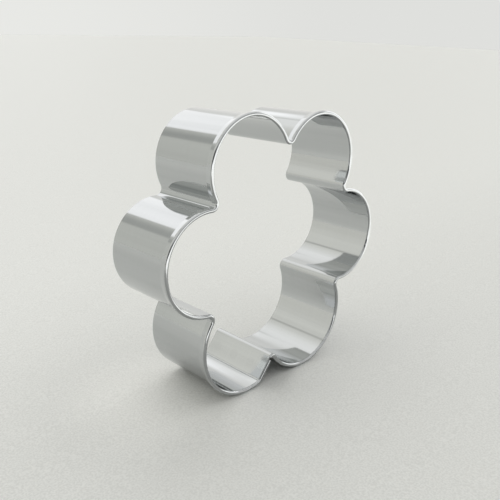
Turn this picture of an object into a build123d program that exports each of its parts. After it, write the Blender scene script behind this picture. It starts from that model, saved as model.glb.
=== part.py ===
from build123d import *
from math import acos, atan2, cos, degrees, hypot, radians, sin, sqrt
import os

# Six-petal flower cookie cutter, standing on edge on two petals.
# The flower lies in the XZ plane and its axis runs along Y.
# The folded rim is at the low end of Y, the cutting edge at the high end.
# X = 0 and Y = 0 are the middle of the cutter, Z = 0 is the surface it stands on.
# Lengths are in millimetres, angles in degrees.

# Flower outline, measured at the middle of the sheet
cutter_depth = 25.0
petal_count = 6
petal_radius = 14.3
petal_overlap = 0.3
notch_radius = 2.1

# The two petals beside the seam are bent fuller than the rest and lean towards it.
# The last one, which carries the lap, stands out further than the first one.
seam_notch_angle = -90.0
seam_notch_radius = 1.4
seam_petal_swell = 1.8
seam_petal_lean = 1.8
first_petal_setback = 1.3
last_petal_reach = 0.45

# Steel strip and its folded rim
sheet_thickness = 0.4
hem_width = 2.5
hem_fold_gap = 0.45
hem_tip_gap = 0.05

# Lap seam, where the plain inner end of the strip lies inside the hemmed outer end.
# The lap is pressed flat, and a tight bend in the last petal leads to its flat.
lap_length = 7.4
lap_facing = -35.0
lap_bend_radius = 1.2
lap_gap = 0.05
outer_end_setback = 0.8
inner_end_rim_setback = 0.25

# Spot welds through both layers of the lap
weld_count = 3
weld_diameter = 3.2
weld_dimple = 0.06

# Values that follow from the sizes above
half_sheet = sheet_thickness / 2
fold_inner_radius = hem_fold_gap / 2
fold_middle_radius = fold_inner_radius + half_sheet
fold_outer_radius = fold_inner_radius + sheet_thickness
rim_reach = fold_middle_radius + fold_outer_radius
lap_step = sheet_thickness + lap_gap
lap_inner_radius = lap_bend_radius - lap_step
petal_pitch = 360 / petal_count
petal_spacing = 2 * petal_radius - petal_overlap
petal_centre_radius = petal_spacing / (2 * sin(radians(petal_pitch / 2)))
seam_petal_radius = petal_radius + seam_petal_swell
first_petal_centre_radius = petal_centre_radius - first_petal_setback
last_petal_centre_radius = petal_centre_radius + last_petal_reach
rim_y = -cutter_depth / 2
cutting_edge_y = cutter_depth / 2


def turned(centre, radius, angle):
    """Point at this radius and angle from the centre, in the plane of the flower."""
    return (centre[0] + radius * cos(radians(angle)), centre[1] + radius * sin(radians(angle)))


def heading(start, end):
    """Angle of the line from one point to another."""
    return degrees(atan2(end[1] - start[1], end[0] - start[0]))


def after(angle, start):
    """The same angle, counted up from the start angle by less than a full turn."""
    return start + (angle - start) % 360


def petal_circle(index):
    """Centre and radius of one petal, counted anticlockwise from the seam notch."""
    angle = seam_notch_angle + (index + 0.5) * petal_pitch
    if index == 0:
        upright = turned((0, 0), first_petal_centre_radius, angle)
        return turned(upright, seam_petal_lean, angle - 90), seam_petal_radius
    if index == petal_count - 1:
        upright = turned((0, 0), last_petal_centre_radius, angle)
        return turned(upright, seam_petal_lean, angle + 90), seam_petal_radius
    return turned((0, 0), petal_centre_radius, angle), petal_radius


def meeting(first_centre, first_reach, second_centre, second_reach):
    """Point at the two reaches from the two centres, on the right of the way from first to second."""
    span = hypot(second_centre[0] - first_centre[0], second_centre[1] - first_centre[1])
    along = (first_reach ** 2 - second_reach ** 2 + span ** 2) / (2 * span)
    aside = sqrt(first_reach ** 2 - along ** 2)
    course = heading(first_centre, second_centre)
    return turned(turned(first_centre, along, course), aside, course - 90)


def closed_face(*lines):
    """Face inside a closed run of lines and arcs."""
    return make_face(Curve() + list(lines))


def fold_arc(centre, radius, bulge, tip_angle):
    """Half turn of the hem, from the wall round the rim to where the flange starts."""
    points = []
    for angle in (180, 270, 360 + tip_angle):
        across, along = turned(centre, radius, angle)
        points.append((across * bulge, along))
    return points


def hemmed_profile(radius, bulge):
    """Section of wall and hem. The hem folds out from the flower, on the bulge side of the sheet."""
    fold_centre = (fold_middle_radius, fold_outer_radius)
    tip = (sheet_thickness + hem_tip_gap, hem_width)
    tip_distance = hypot(tip[0] - fold_centre[0], tip[1] - fold_centre[1])
    flange_length = sqrt(tip_distance ** 2 - fold_middle_radius ** 2)
    lean = heading(fold_centre, tip) - degrees(acos(fold_middle_radius / tip_distance))
    outer = fold_arc(fold_centre, fold_outer_radius, bulge, lean)
    inner = fold_arc(fold_centre, fold_inner_radius, bulge, lean)
    tip_outer = turned(turned(fold_centre, fold_outer_radius, lean), flange_length, lean + 90)
    tip_inner = turned(turned(fold_centre, fold_inner_radius, lean), flange_length, lean + 90)

    def placed(point):
        return (radius + point[0], rim_y + point[1])

    wall_inner = placed((-half_sheet * bulge, cutter_depth))
    wall_outer = placed((half_sheet * bulge, cutter_depth))
    flange_outer = placed((tip_outer[0] * bulge, tip_outer[1]))
    flange_inner = placed((tip_inner[0] * bulge, tip_inner[1]))
    outer_start, outer_middle, outer_end = [placed(point) for point in outer]
    inner_start, inner_middle, inner_end = [placed(point) for point in inner]
    return closed_face(
        Line(wall_inner, outer_start),
        ThreePointArc(outer_start, outer_middle, outer_end),
        Line(outer_end, flange_outer),
        Line(flange_outer, flange_inner),
        Line(flange_inner, inner_end),
        ThreePointArc(inner_end, inner_middle, inner_start),
        Line(inner_start, wall_outer),
        Line(wall_outer, wall_inner),
    )


def plain_profile(radius):
    """Section of the strip's plain inner end, which has no hem."""
    front = rim_y + inner_end_rim_setback
    corners = [
        (radius - half_sheet, front),
        (radius + half_sheet, front),
        (radius + half_sheet, cutting_edge_y),
        (radius - half_sheet, cutting_edge_y),
    ]
    sides = [Line(corners[i - 1], corners[i]) for i in range(len(corners))]
    return closed_face(*sides)


def bent(profile, centre, low_angle, high_angle):
    """The section swept round a bend's centre, from the low angle up to the high one."""
    stretch = revolve(profile, axis=Axis.Y, revolution_arc=high_angle - low_angle)
    return Pos(centre[0], 0, centre[1]) * Rot(0, -high_angle, 0) * stretch


def flat(profile, centre, facing, length):
    """The section drawn out straight, on from a bend about this centre that ends at the facing angle."""
    stretch = extrude(profile, amount=length, dir=(0, 0, 1))
    return Pos(centre[0], 0, centre[1]) * Rot(0, -facing, 0) * stretch


petals = [petal_circle(index) for index in range(petal_count)]
first_petal_centre, first_petal_radius = petals[0]
last_petal_centre, last_petal_radius = petals[-1]


def along_lap(centre, length, reach):
    """From the lap bend's centre, the point this far along the lap and this far out across it."""
    return turned(turned(centre, length, lap_facing + 90), reach, lap_facing)


# The lap bend is tangent to the last petal, the seam notch to the lap's inner layer and to the first petal
seam_step = along_lap((0, 0), lap_length, lap_inner_radius + seam_notch_radius)
lap_bend_centre = meeting(
    last_petal_centre,
    last_petal_radius - lap_bend_radius,
    (first_petal_centre[0] - seam_step[0], first_petal_centre[1] - seam_step[1]),
    first_petal_radius + seam_notch_radius,
)
seam_notch = along_lap(lap_bend_centre, lap_length, lap_inner_radius + seam_notch_radius)
lap_end = along_lap(lap_bend_centre, lap_length, 0)


def notch_after(index):
    """Centre of the bend that follows this petal."""
    if index == petal_count - 1:
        return seam_notch
    (centre, radius), (next_centre, next_radius) = petals[index], petals[index + 1]
    return meeting(centre, radius + notch_radius, next_centre, next_radius + notch_radius)


def notch_stretch(notch, bend_radius, place_before, place_after):
    """Hemmed bend of one notch, from the side of the place before it to that of the place after it."""
    high = heading(notch, place_before)
    low = heading(notch, place_after)
    return bent(hemmed_profile(bend_radius, -1), notch, low, after(high, low))


def lap_stretches():
    """The hemmed bend and flat of the outer end, and the plain flat of the inner end."""
    bend_start = heading(last_petal_centre, lap_bend_centre)
    bend_end = after(lap_facing, bend_start)
    hemmed = hemmed_profile(lap_bend_radius, 1)
    plain = plain_profile(lap_inner_radius)
    return [
        bent(hemmed, lap_bend_centre, bend_start, bend_end),
        flat(hemmed, lap_bend_centre, lap_facing, lap_length - outer_end_setback),
        flat(plain, lap_bend_centre, lap_facing, lap_length),
    ]


def strip():
    """The whole strip: petals and notches from the seam notch round to the last petal, then the lap."""
    stretches = [notch_stretch(seam_notch, seam_notch_radius, lap_end, first_petal_centre)]
    for index in range(petal_count):
        centre, radius = petals[index]
        last = index == petal_count - 1
        start = heading(centre, notch_after((index - 1) % petal_count))
        end = heading(centre, lap_bend_centre if last else notch_after(index))
        stretches.append(bent(hemmed_profile(radius, 1), centre, start, after(end, start)))
        if not last:
            stretches.append(notch_stretch(notch_after(index), notch_radius, centre, petals[index + 1][0]))
    whole = stretches[0]
    for stretch in stretches[1:] + lap_stretches():
        whole = whole + stretch
    return whole


def weld_pin(index, low_reach, high_reach):
    """Round pin across the lap at one weld's place, between two reaches from the lap bend's centre."""
    start = along_lap(lap_bend_centre, (lap_length - outer_end_setback) / 2, low_reach)
    weld_pitch = (cutter_depth - hem_width) / weld_count
    along = rim_y + hem_width + (index + 0.5) * weld_pitch
    outward = (cos(radians(lap_facing)), 0, sin(radians(lap_facing)))
    pin = Cylinder(weld_diameter / 2, high_reach - low_reach, align=(Align.CENTER, Align.CENTER, Align.MIN))
    return Plane(origin=(start[0], along, start[1]), z_dir=outward) * pin


def weld_hole(index):
    """Hole for one weld, through both layers of the lap."""
    return weld_pin(index, lap_inner_radius - sheet_thickness, lap_bend_radius + sheet_thickness)


def weld_nugget(index):
    """One weld: it fills its hole, flush inside the flower and dimpled by the electrode outside."""
    return weld_pin(index, lap_inner_radius - half_sheet, lap_bend_radius + half_sheet - weld_dimple)


# Stood up, the flower is turned until the two petals beside the seam both touch the ground
standing_turn = heading(last_petal_centre, first_petal_centre)


def stood(point):
    """The point's place in the plane of the flower, once the flower is turned to stand."""
    return turned((0, 0), hypot(point[0], point[1]), heading((0, 0), point) - standing_turn)


flower_height = -min(stood(centre)[1] - radius - rim_reach for centre, radius in petals)
standing = Pos(0, 0, flower_height) * Rot(0, standing_turn, 0)

cutter_strip = strip()
for weld in range(weld_count):
    cutter_strip = cutter_strip - weld_hole(weld)

os.makedirs("parts", exist_ok=True)
export_step(standing * cutter_strip, "parts/cutter_strip.step")
for weld in range(weld_count):
    export_step(standing * weld_nugget(weld), f"parts/spot_weld_{weld + 1}.step")
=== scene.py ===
import math

import bpy
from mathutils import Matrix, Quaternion, Vector

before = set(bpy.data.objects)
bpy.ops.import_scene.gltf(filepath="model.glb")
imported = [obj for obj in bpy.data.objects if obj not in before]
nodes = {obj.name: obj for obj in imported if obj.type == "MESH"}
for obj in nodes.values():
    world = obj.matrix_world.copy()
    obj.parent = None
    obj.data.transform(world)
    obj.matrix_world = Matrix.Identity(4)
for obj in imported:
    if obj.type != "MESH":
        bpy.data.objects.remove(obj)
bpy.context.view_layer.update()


# The cutter strip: one strip of bright stainless sheet, rolled, hemmed along the rim
# and bent into six petals. Rolling leaves a fine grain along the strip, bending leaves
# faint flats across it, and the folded rim is rubbed by use.
def new_node(tree, kind, **settings):
    node = tree.nodes.new(kind)
    for name, value in settings.items():
        setattr(node, name, value)
    return node


def feed(tree, socket, value):
    """Link the socket to another node's output, or store a plain value in it."""
    if isinstance(value, bpy.types.NodeSocket):
        tree.links.new(value, socket)
    elif socket.type == "RGBA":
        socket.default_value = (*value, 1)
    else:
        socket.default_value = value


def maths(tree, operation, *terms):
    """The result of one sum on numbers and other nodes' outputs."""
    node = new_node(tree, "ShaderNodeMath", operation=operation)
    for socket, term in zip(node.inputs, terms):
        feed(tree, socket, term)
    return node.outputs["Value"]


def ramp(tree, value, low, high, bottom=0.0, top=1.0, kind="LINEAR"):
    """Carry the range from low to high over to bottom to top, and hold it at both ends."""
    node = new_node(tree, "ShaderNodeMapRange", interpolation_type=kind)
    feed(tree, node.inputs["Value"], value)
    feed(tree, node.inputs["From Min"], low)
    feed(tree, node.inputs["From Max"], high)
    feed(tree, node.inputs["To Min"], bottom)
    feed(tree, node.inputs["To Max"], top)
    return node.outputs["Result"]


def smooth_ramp(tree, value, low, high, top=1.0):
    """0 at the low value and the top at the high one, which may be the smaller of the two."""
    return ramp(tree, value, low, high, top=top, kind="SMOOTHSTEP")


def noise(tree, place, scale, detail):
    node = new_node(tree, "ShaderNodeTexNoise")
    feed(tree, node.inputs["Vector"], place)
    feed(tree, node.inputs["Scale"], scale)
    feed(tree, node.inputs["Detail"], detail)
    return node.outputs["Fac"]


def stretched_noise(tree, place, scales, detail):
    """Noise with a scale of its own along each axis."""
    stretch = new_node(tree, "ShaderNodeMapping")
    feed(tree, stretch.inputs["Vector"], place)
    feed(tree, stretch.inputs["Scale"], scales)
    return noise(tree, stretch.outputs["Vector"], scale=1.0, detail=detail)


def separated(tree, place):
    """The place's X, Y and Z, each as a number."""
    node = new_node(tree, "ShaderNodeSeparateXYZ")
    feed(tree, node.inputs["Vector"], place)
    return node.outputs["X"], node.outputs["Y"], node.outputs["Z"]


def sheet_surface_group():
    """Colour, roughness and bump height of bright rolled sheet, by place on the strip."""
    group = bpy.data.node_groups.new("rolled_sheet_surface", "ShaderNodeTree")
    sockets = (
        ("Steel", "INPUT", "NodeSocketColor"),
        ("Base Roughness", "INPUT", "NodeSocketFloat"),
        ("Smudges", "INPUT", "NodeSocketFloat"),
        ("Colour", "OUTPUT", "NodeSocketColor"),
        ("Roughness", "OUTPUT", "NodeSocketFloat"),
        ("Height", "OUTPUT", "NodeSocketFloat"),
    )
    for name, side, kind in sockets:
        group.interface.new_socket(name=name, in_out=side, socket_type=kind)
    given = new_node(group, "NodeGroupInput").outputs
    result = new_node(group, "NodeGroupOutput").inputs
    place = new_node(group, "ShaderNodeTexCoord").outputs["Object"]
    _, depth, _ = separated(group, place)

    # Rolling grain: lines that run along the strip, so they change fast across its depth only
    grain = stretched_noise(group, place, scales=(60, 9000, 60), detail=3.0)

    # Bending flats: they run straight across the strip, so they hardly change with depth
    flats = stretched_noise(group, place, scales=(260, 6, 260), detail=3.0)

    # Smudges from handling, a few millimetres wide
    smudges = noise(group, place, scale=140.0, detail=4.0)
    smudge_depth = ramp(group, smudges, low=0.4, high=0.75, top=given["Smudges"])
    smudged = maths(group, "ADD", given["Base Roughness"], smudge_depth)

    # Fine rubbing marks on the folded rim
    rim = smooth_ramp(group, depth, low=-0.0112, high=-0.0122)
    rubbing = noise(group, place, scale=1100.0, detail=3.0)
    marks = ramp(group, rubbing, low=0.5, high=0.8, top=0.14)
    rubbed = maths(group, "MULTIPLY_ADD", rim, marks, smudged)

    # The sheared face of the cutting edge
    sheared = ramp(group, depth, low=0.01247, high=0.01249, top=0.28)
    feed(group, result["Roughness"], maths(group, "ADD", rubbed, sheared))

    # Grain and flats also change the tone a little
    grain_tone = ramp(group, grain, low=0.0, high=1.0, bottom=0.96, top=1.04)
    flat_tone = ramp(group, flats, low=0.3, high=0.7, bottom=0.95, top=1.05)
    tone = new_node(group, "ShaderNodeVectorMath", operation="SCALE")
    feed(group, tone.inputs[0], given["Steel"])
    feed(group, tone.inputs["Scale"], maths(group, "MULTIPLY", grain_tone, flat_tone))
    feed(group, result["Colour"], tone.outputs["Vector"])

    # The grain is much shallower than the flats
    grain_share = 0.02
    grain_height = maths(group, "MULTIPLY", grain, grain_share)
    feed(group, result["Height"], maths(group, "ADD", grain_height, flats))
    return group


def bump_normal(tree, height, strength, distance):
    bump = new_node(tree, "ShaderNodeBump")
    feed(tree, bump.inputs["Height"], height)
    feed(tree, bump.inputs["Strength"], strength)
    feed(tree, bump.inputs["Distance"], distance)
    return bump.outputs["Normal"]


rolled_sheet_surface = sheet_surface_group()


def steel_material(name, steel, base_roughness, smudges):
    material = bpy.data.materials.new(name)
    material.use_nodes = True
    tree = material.node_tree
    surface = new_node(tree, "ShaderNodeGroup", node_tree=rolled_sheet_surface)
    feed(tree, surface.inputs["Steel"], steel)
    feed(tree, surface.inputs["Base Roughness"], base_roughness)
    feed(tree, surface.inputs["Smudges"], smudges)
    waves = bump_normal(tree, surface.outputs["Height"], strength=1.0, distance=0.00002)
    shader = tree.nodes["Principled BSDF"]
    feed(tree, shader.inputs["Metallic"], 1.0)
    feed(tree, shader.inputs["Base Color"], surface.outputs["Colour"])
    feed(tree, shader.inputs["Roughness"], surface.outputs["Roughness"])
    feed(tree, shader.inputs["Normal"], waves)
    return material


strip_steel = steel_material(
    "bright_rolled_stainless", steel=(0.577, 0.592, 0.599), base_roughness=0.065, smudges=0.06
)
nodes["cutter_strip"].material_slots[0].material = strip_steel


# The spot welds: round nuggets where both layers of the lap are melted together.
# They keep the mark of the electrode, so they are duller than the sheet round them.
weld_steel = steel_material(
    "pressed_weld_steel", steel=(0.57, 0.584, 0.591), base_roughness=0.08, smudges=0.07
)
for weld in ("spot_weld_1", "spot_weld_2", "spot_weld_3"):
    nodes[weld].material_slots[0].material = weld_steel


# The floor: a plain pale board. The hem is thicker than the sheet, so on a flat board
# the cutter leans back by two degrees on its rim and its cutting edge.
def product(tree, *shares):
    """The share that is left where every one of these shares counts."""
    result = shares[0]
    for share in shares[1:]:
        result = maths(tree, "MULTIPLY", result, share)
    return result


def mixed(tree, share, first, second, blend="MIX"):
    """The first colour at share 0. At share 1 the second one, or the two blended."""
    mix = new_node(tree, "ShaderNodeMixRGB", blend_type=blend)
    feed(tree, mix.inputs["Fac"], share)
    feed(tree, mix.inputs["Color1"], first)
    feed(tree, mix.inputs["Color2"], second)
    return mix.outputs["Color"]


def measured(tree, operation, *places):
    """A length, a distance or a dot product, as a number."""
    node = new_node(tree, "ShaderNodeVectorMath", operation=operation)
    for socket, place in zip(node.inputs, places):
        feed(tree, socket, place)
    return node.outputs["Value"]


def mirrored_more_than_once(tree, rays):
    return maths(tree, "GREATER_THAN", rays["Glossy Depth"], 1.5)


def floor_material():
    material = bpy.data.materials.new("pale_board")
    material.use_nodes = True
    tree = material.node_tree
    rays = new_node(tree, "ShaderNodeLightPath").outputs
    to_camera, in_mirrors = rays["Is Camera Ray"], rays["Is Glossy Ray"]
    place = new_node(tree, "ShaderNodeTexCoord").outputs["Object"]
    to_right, to_back, _ = separated(tree, place)

    # Speckle of about half a millimetre
    speckle = noise(tree, place, scale=1900.0, detail=2.0)
    grain = ramp(tree, speckle, low=0.35, high=0.65)
    board = mixed(tree, grain, (0.70, 0.705, 0.685), (0.80, 0.805, 0.785))

    # Painted light: the board is painted paler towards the back, as if more light fell there, most
    # of all to the camera
    far = smooth_ramp(tree, measured(tree, "LENGTH", place), low=0.20, high=0.60, top=0.75)
    seen_far = smooth_ramp(tree, to_back, low=-0.06, high=0.12)
    back_light_share = new_node(tree, "ShaderNodeMix", data_type="FLOAT")
    feed(tree, back_light_share.inputs["Factor"], to_camera)
    feed(tree, back_light_share.inputs["A"], far)
    feed(tree, back_light_share.inputs["B"], seen_far)
    painted_back_light = (1.096, 1.096, 1.096)
    board = mixed(tree, back_light_share.outputs["Result"], board, painted_back_light, blend="MULTIPLY")

    # Painted light: a pool of the light that the steel throws is painted on the board beside the
    # lower left petal
    lit_place = (-0.036, 0.004, 0)
    lit = smooth_ramp(tree, measured(tree, "DISTANCE", place, lit_place), low=0.033, high=0.006)
    painted_thrown_light = (1.19, 1.185, 1.18)
    board = mixed(tree, product(tree, lit, to_camera), board, painted_thrown_light, blend="MULTIPLY")

    # Painted shade: mirrored in the rim, the board just in front of the cutter is painted dark
    near_side = smooth_ramp(tree, to_back, low=-0.0125, high=-0.018)
    painted_shade_share = 0.45
    board = mixed(tree, product(tree, near_side, in_mirrors, painted_shade_share), board, (0.10, 0.10, 0.10))

    # Painted light: in mirrors the board is painted bright further in front and at the right, and
    # glows there, standing in for daylight falling on it
    to_front = measured(tree, "DOT_PRODUCT", place, (0.5, -0.866, 0))
    front = smooth_ramp(tree, to_front, low=0.10, high=0.15)
    right = smooth_ramp(tree, to_right, low=0.085, high=0.115)
    not_behind = smooth_ramp(tree, to_back, low=0.035, high=0.015)
    painted_daylight = product(tree, maths(tree, "MAXIMUM", front, right), not_behind, in_mirrors)
    board = mixed(tree, painted_daylight, board, (1.0, 1.0, 0.98))

    # Painted light: what the steel mirrors twice from the right, behind, is painted as bright as
    # what it mirrors once, by making the board glow there
    behind = smooth_ramp(tree, to_back, low=0.052, high=0.065)
    beside = smooth_ramp(tree, to_right, low=0.03, high=0.042)
    twice = product(tree, behind, beside, mirrored_more_than_once(tree, rays))
    # Painted light: the board glows, though it is no lamp, where it stands in for daylight or for
    # twice-mirrored light
    painted_glow = mixed(tree, maths(tree, "MAXIMUM", painted_daylight, twice), (0, 0, 0), (0.7, 0.7, 0.68))

    shader = tree.nodes["Principled BSDF"]
    feed(tree, shader.inputs["Base Color"], board)
    feed(tree, shader.inputs["Roughness"], 0.55)
    feed(tree, shader.inputs["Emission Color"], painted_glow)
    feed(tree, shader.inputs["Emission Strength"], 1.0)
    dents = bump_normal(tree, speckle, strength=0.15, distance=0.0001)
    feed(tree, shader.inputs["Normal"], dents)
    return material


floor_width = 6.0
floor_lean = math.radians(2.0)
bead_line = -0.0119
bpy.ops.object.select_all(action="DESELECT")
bpy.ops.mesh.primitive_plane_add(
    size=floor_width, location=(0, bead_line, 0), rotation=(floor_lean, 0, 0)
)
floor = bpy.context.object
floor.name = "floor"
bpy.ops.object.transform_apply(location=True, rotation=True, scale=True)
floor.data.materials.append(floor_material())


# The light: a soft pale room with a long bright panel high behind the cutter, a darker corner
# left of the panel, a tall window at the right, and a dim front with a low strip of daylight.
def room_light():
    world = bpy.data.worlds.new("soft_room")
    bpy.context.scene.world = world
    world.use_nodes = True
    tree = world.node_tree
    tree.nodes.clear()
    out = new_node(tree, "ShaderNodeOutputWorld")
    room = new_node(tree, "ShaderNodeBackground")
    feed(tree, out.inputs["Surface"], room.outputs["Background"])
    rays = new_node(tree, "ShaderNodeLightPath").outputs
    way = new_node(tree, "ShaderNodeTexCoord").outputs["Generated"]
    right, ahead, up = separated(tree, way)

    # Angle round the cutter's axis: 0 at the right horizon, 90 overhead, 180 at the left horizon
    around = maths(tree, "ARCTAN2", maths(tree, "MAXIMUM", up, 0), right)

    # Angle round the upright: 0 at the right, 90 behind the cutter, -90 in front of it
    facing = maths(tree, "ARCTAN2", ahead, right)

    def between(value, low, high):
        return smooth_ramp(tree, value, low, high)

    def turned(angle, low, high):
        """The same ramp between two angles in degrees."""
        return smooth_ramp(tree, angle, math.radians(low), math.radians(high))

    def laid(under, tone, *shares):
        """The tone laid over what is there, as far as every share counts."""
        return mixed(tree, product(tree, *shares), under, tone)

    # Pale walls and ceiling behind
    right_wall, ceiling = (0.90, 0.895, 0.865), (1.18, 1.175, 1.15)
    left_ceiling, left_wall = (0.885, 0.88, 0.82), (0.79, 0.785, 0.725)
    right_corner = (0.74, 0.74, 0.71)
    back = laid(right_wall, ceiling, turned(around, 30, 68))
    back = laid(back, left_ceiling, turned(around, 76, 116))
    back = laid(back, left_wall, turned(around, 136, 170))
    back = laid(back, right_corner, turned(around, 22, 8), between(ahead, 0.68, 0.60))

    # Dimmer walls in front, darkest below
    front = laid((0.29, 0.29, 0.285), (0.80, 0.805, 0.79), between(up, 0.15, 0.8))
    room_tone = laid(front, back, between(ahead, -0.4, 0.3))

    # A tall window at the right
    window = turned(facing, -32, -24), turned(facing, 26, 14), between(up, 0.62, 0.50)
    room_tone = laid(room_tone, (1.65, 1.65, 1.63), *window)

    # The dark place where the camera stands
    stand = turned(facing, -172, -160), turned(facing, -108, -114), between(up, 0.60, 0.45)
    room_tone = laid(room_tone, (0.10, 0.10, 0.10), *stand)

    # A low strip of daylight across the front
    low_strip = turned(facing, -152, -128), turned(facing, -20, -45), between(up, 0.13, 0.08)
    room_tone = laid(room_tone, (1.75, 1.75, 1.73), *low_strip)

    # The left wall behind lies in shade, darkest in the corner beside the panel
    shade = turned(around, 103.5, 107), between(ahead, 0.66, 0.74)
    room_tone = laid(room_tone, (0.70, 0.705, 0.655), *shade)
    corner = turned(around, 104, 122), turned(around, 132, 127), between(ahead, 0.65, 0.745)
    room_tone = laid(room_tone, (0.50, 0.51, 0.48), *corner)

    # The seams between the ceiling's panels
    left_seam = turned(around, 109.5, 112), turned(around, 116.5, 114), between(ahead, 0.66, 0.63)
    room_tone = laid(room_tone, (0.62, 0.62, 0.58), *left_seam)
    right_seam = turned(around, 62.5, 64.5), turned(around, 68, 66), between(ahead, 0.61, 0.64)
    room_tone = laid(room_tone, (0.86, 0.865, 0.84), *right_seam)

    # The bright panel, whose right side leans, and the glow at its right foot
    foot = turned(around, 36, 48), turned(around, 63, 53), between(ahead, 0.61, 0.70)
    room_tone = laid(room_tone, (1.52, 1.52, 1.52), *foot)
    lean, lean_start = 4.6, -3.5
    leaning = maths(tree, "ADD", around, maths(tree, "MULTIPLY_ADD", ahead, lean, lean_start))
    panel = turned(leaning, 38, 45), turned(around, 107, 103.5), between(ahead, 0.69, 0.72)
    room_tone = laid(room_tone, (1.33, 1.325, 1.32), *panel)

    # What the steel mirrors twice from low at the right is as bright as what it mirrors once
    low_right = turned(around, 36, 28), between(ahead, 0.50, 0.56)
    twice = mirrored_more_than_once(tree, rays)
    room_tone = laid(room_tone, (1.32, 1.32, 1.29), *low_right, twice)

    # The camera itself sees a plain pale backdrop, as pale as the board's far end
    backdrop = laid((0.74, 0.745, 0.725), (0.81, 0.815, 0.79), between(ahead, 0.60, 0.95))
    feed(tree, room.inputs["Color"], laid(room_tone, backdrop, rays["Is Camera Ray"]))


room_light()


# The camera: in front of the rim and to its left, a little above, held slightly turned.
# Its place and its lens come from fitting the rim and the cutting edge to the photograph.
camera_place = Vector((-0.1318, -0.1336, 0.1013))
camera_aim = Vector((-0.0020, 0.0, 0.0391))
camera_roll = math.radians(0.37)
bpy.ops.object.camera_add(location=camera_place)
camera = bpy.context.object
camera.rotation_mode = "QUATERNION"
look = (camera_aim - camera_place).to_track_quat("-Z", "Y")
camera.rotation_quaternion = look @ Quaternion((0, 0, 1), camera_roll)
camera.data.lens = 45.9
camera.data.sensor_width = 36.0
camera.data.clip_start = 0.01
camera.data.clip_end = 50.0
bpy.context.scene.camera = camera
bpy.context.scene.view_settings.view_transform = "Standard"
bpy.context.view_layer.update()
